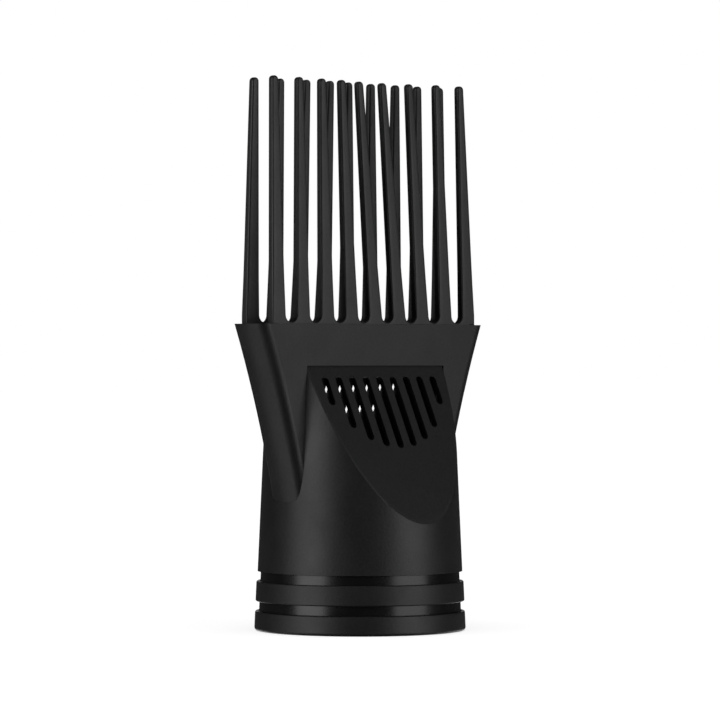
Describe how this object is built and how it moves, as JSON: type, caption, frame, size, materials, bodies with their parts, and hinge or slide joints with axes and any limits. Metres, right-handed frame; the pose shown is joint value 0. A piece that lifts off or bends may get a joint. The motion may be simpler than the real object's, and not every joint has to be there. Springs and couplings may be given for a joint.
{
  "type": "hair dryer comb nozzle",
  "caption": "Push-on comb nozzle for a hair dryer: grooved round collar, flared flat head with slotted vents, and two rows of long tapering tines.",
  "frame": {"origin": "centre of the collar's bottom rim, on the collar's axis", "axes": "+Z along the collar's axis and the air path, towards the tips of the tines; X along the comb; -Y is the front"},
  "size_m": [0.0786, 0.0566, 0.1465],
  "materials": {
    "shell_matte": "fine spark-eroded matte",
    "grille_matte": "fine spark-eroded matte",
    "comb_matte": "satin matte",
    "sleeve_gloss": "polished",
    "band_matte": "fine spark-eroded matte"
  },
  "bodies": {
    "root": {"neck_cone": "shell_matte", "head_shell": "shell_matte", "front_vent_grille": "grille_matte", "rear_vent_grille": "grille_matte", "front_comb": "comb_matte", "rear_comb": "comb_matte", "grip_sleeve": "sleeve_gloss", "middle_band": "band_matte", "bottom_band": "band_matte"}
  },
  "joints": []
}
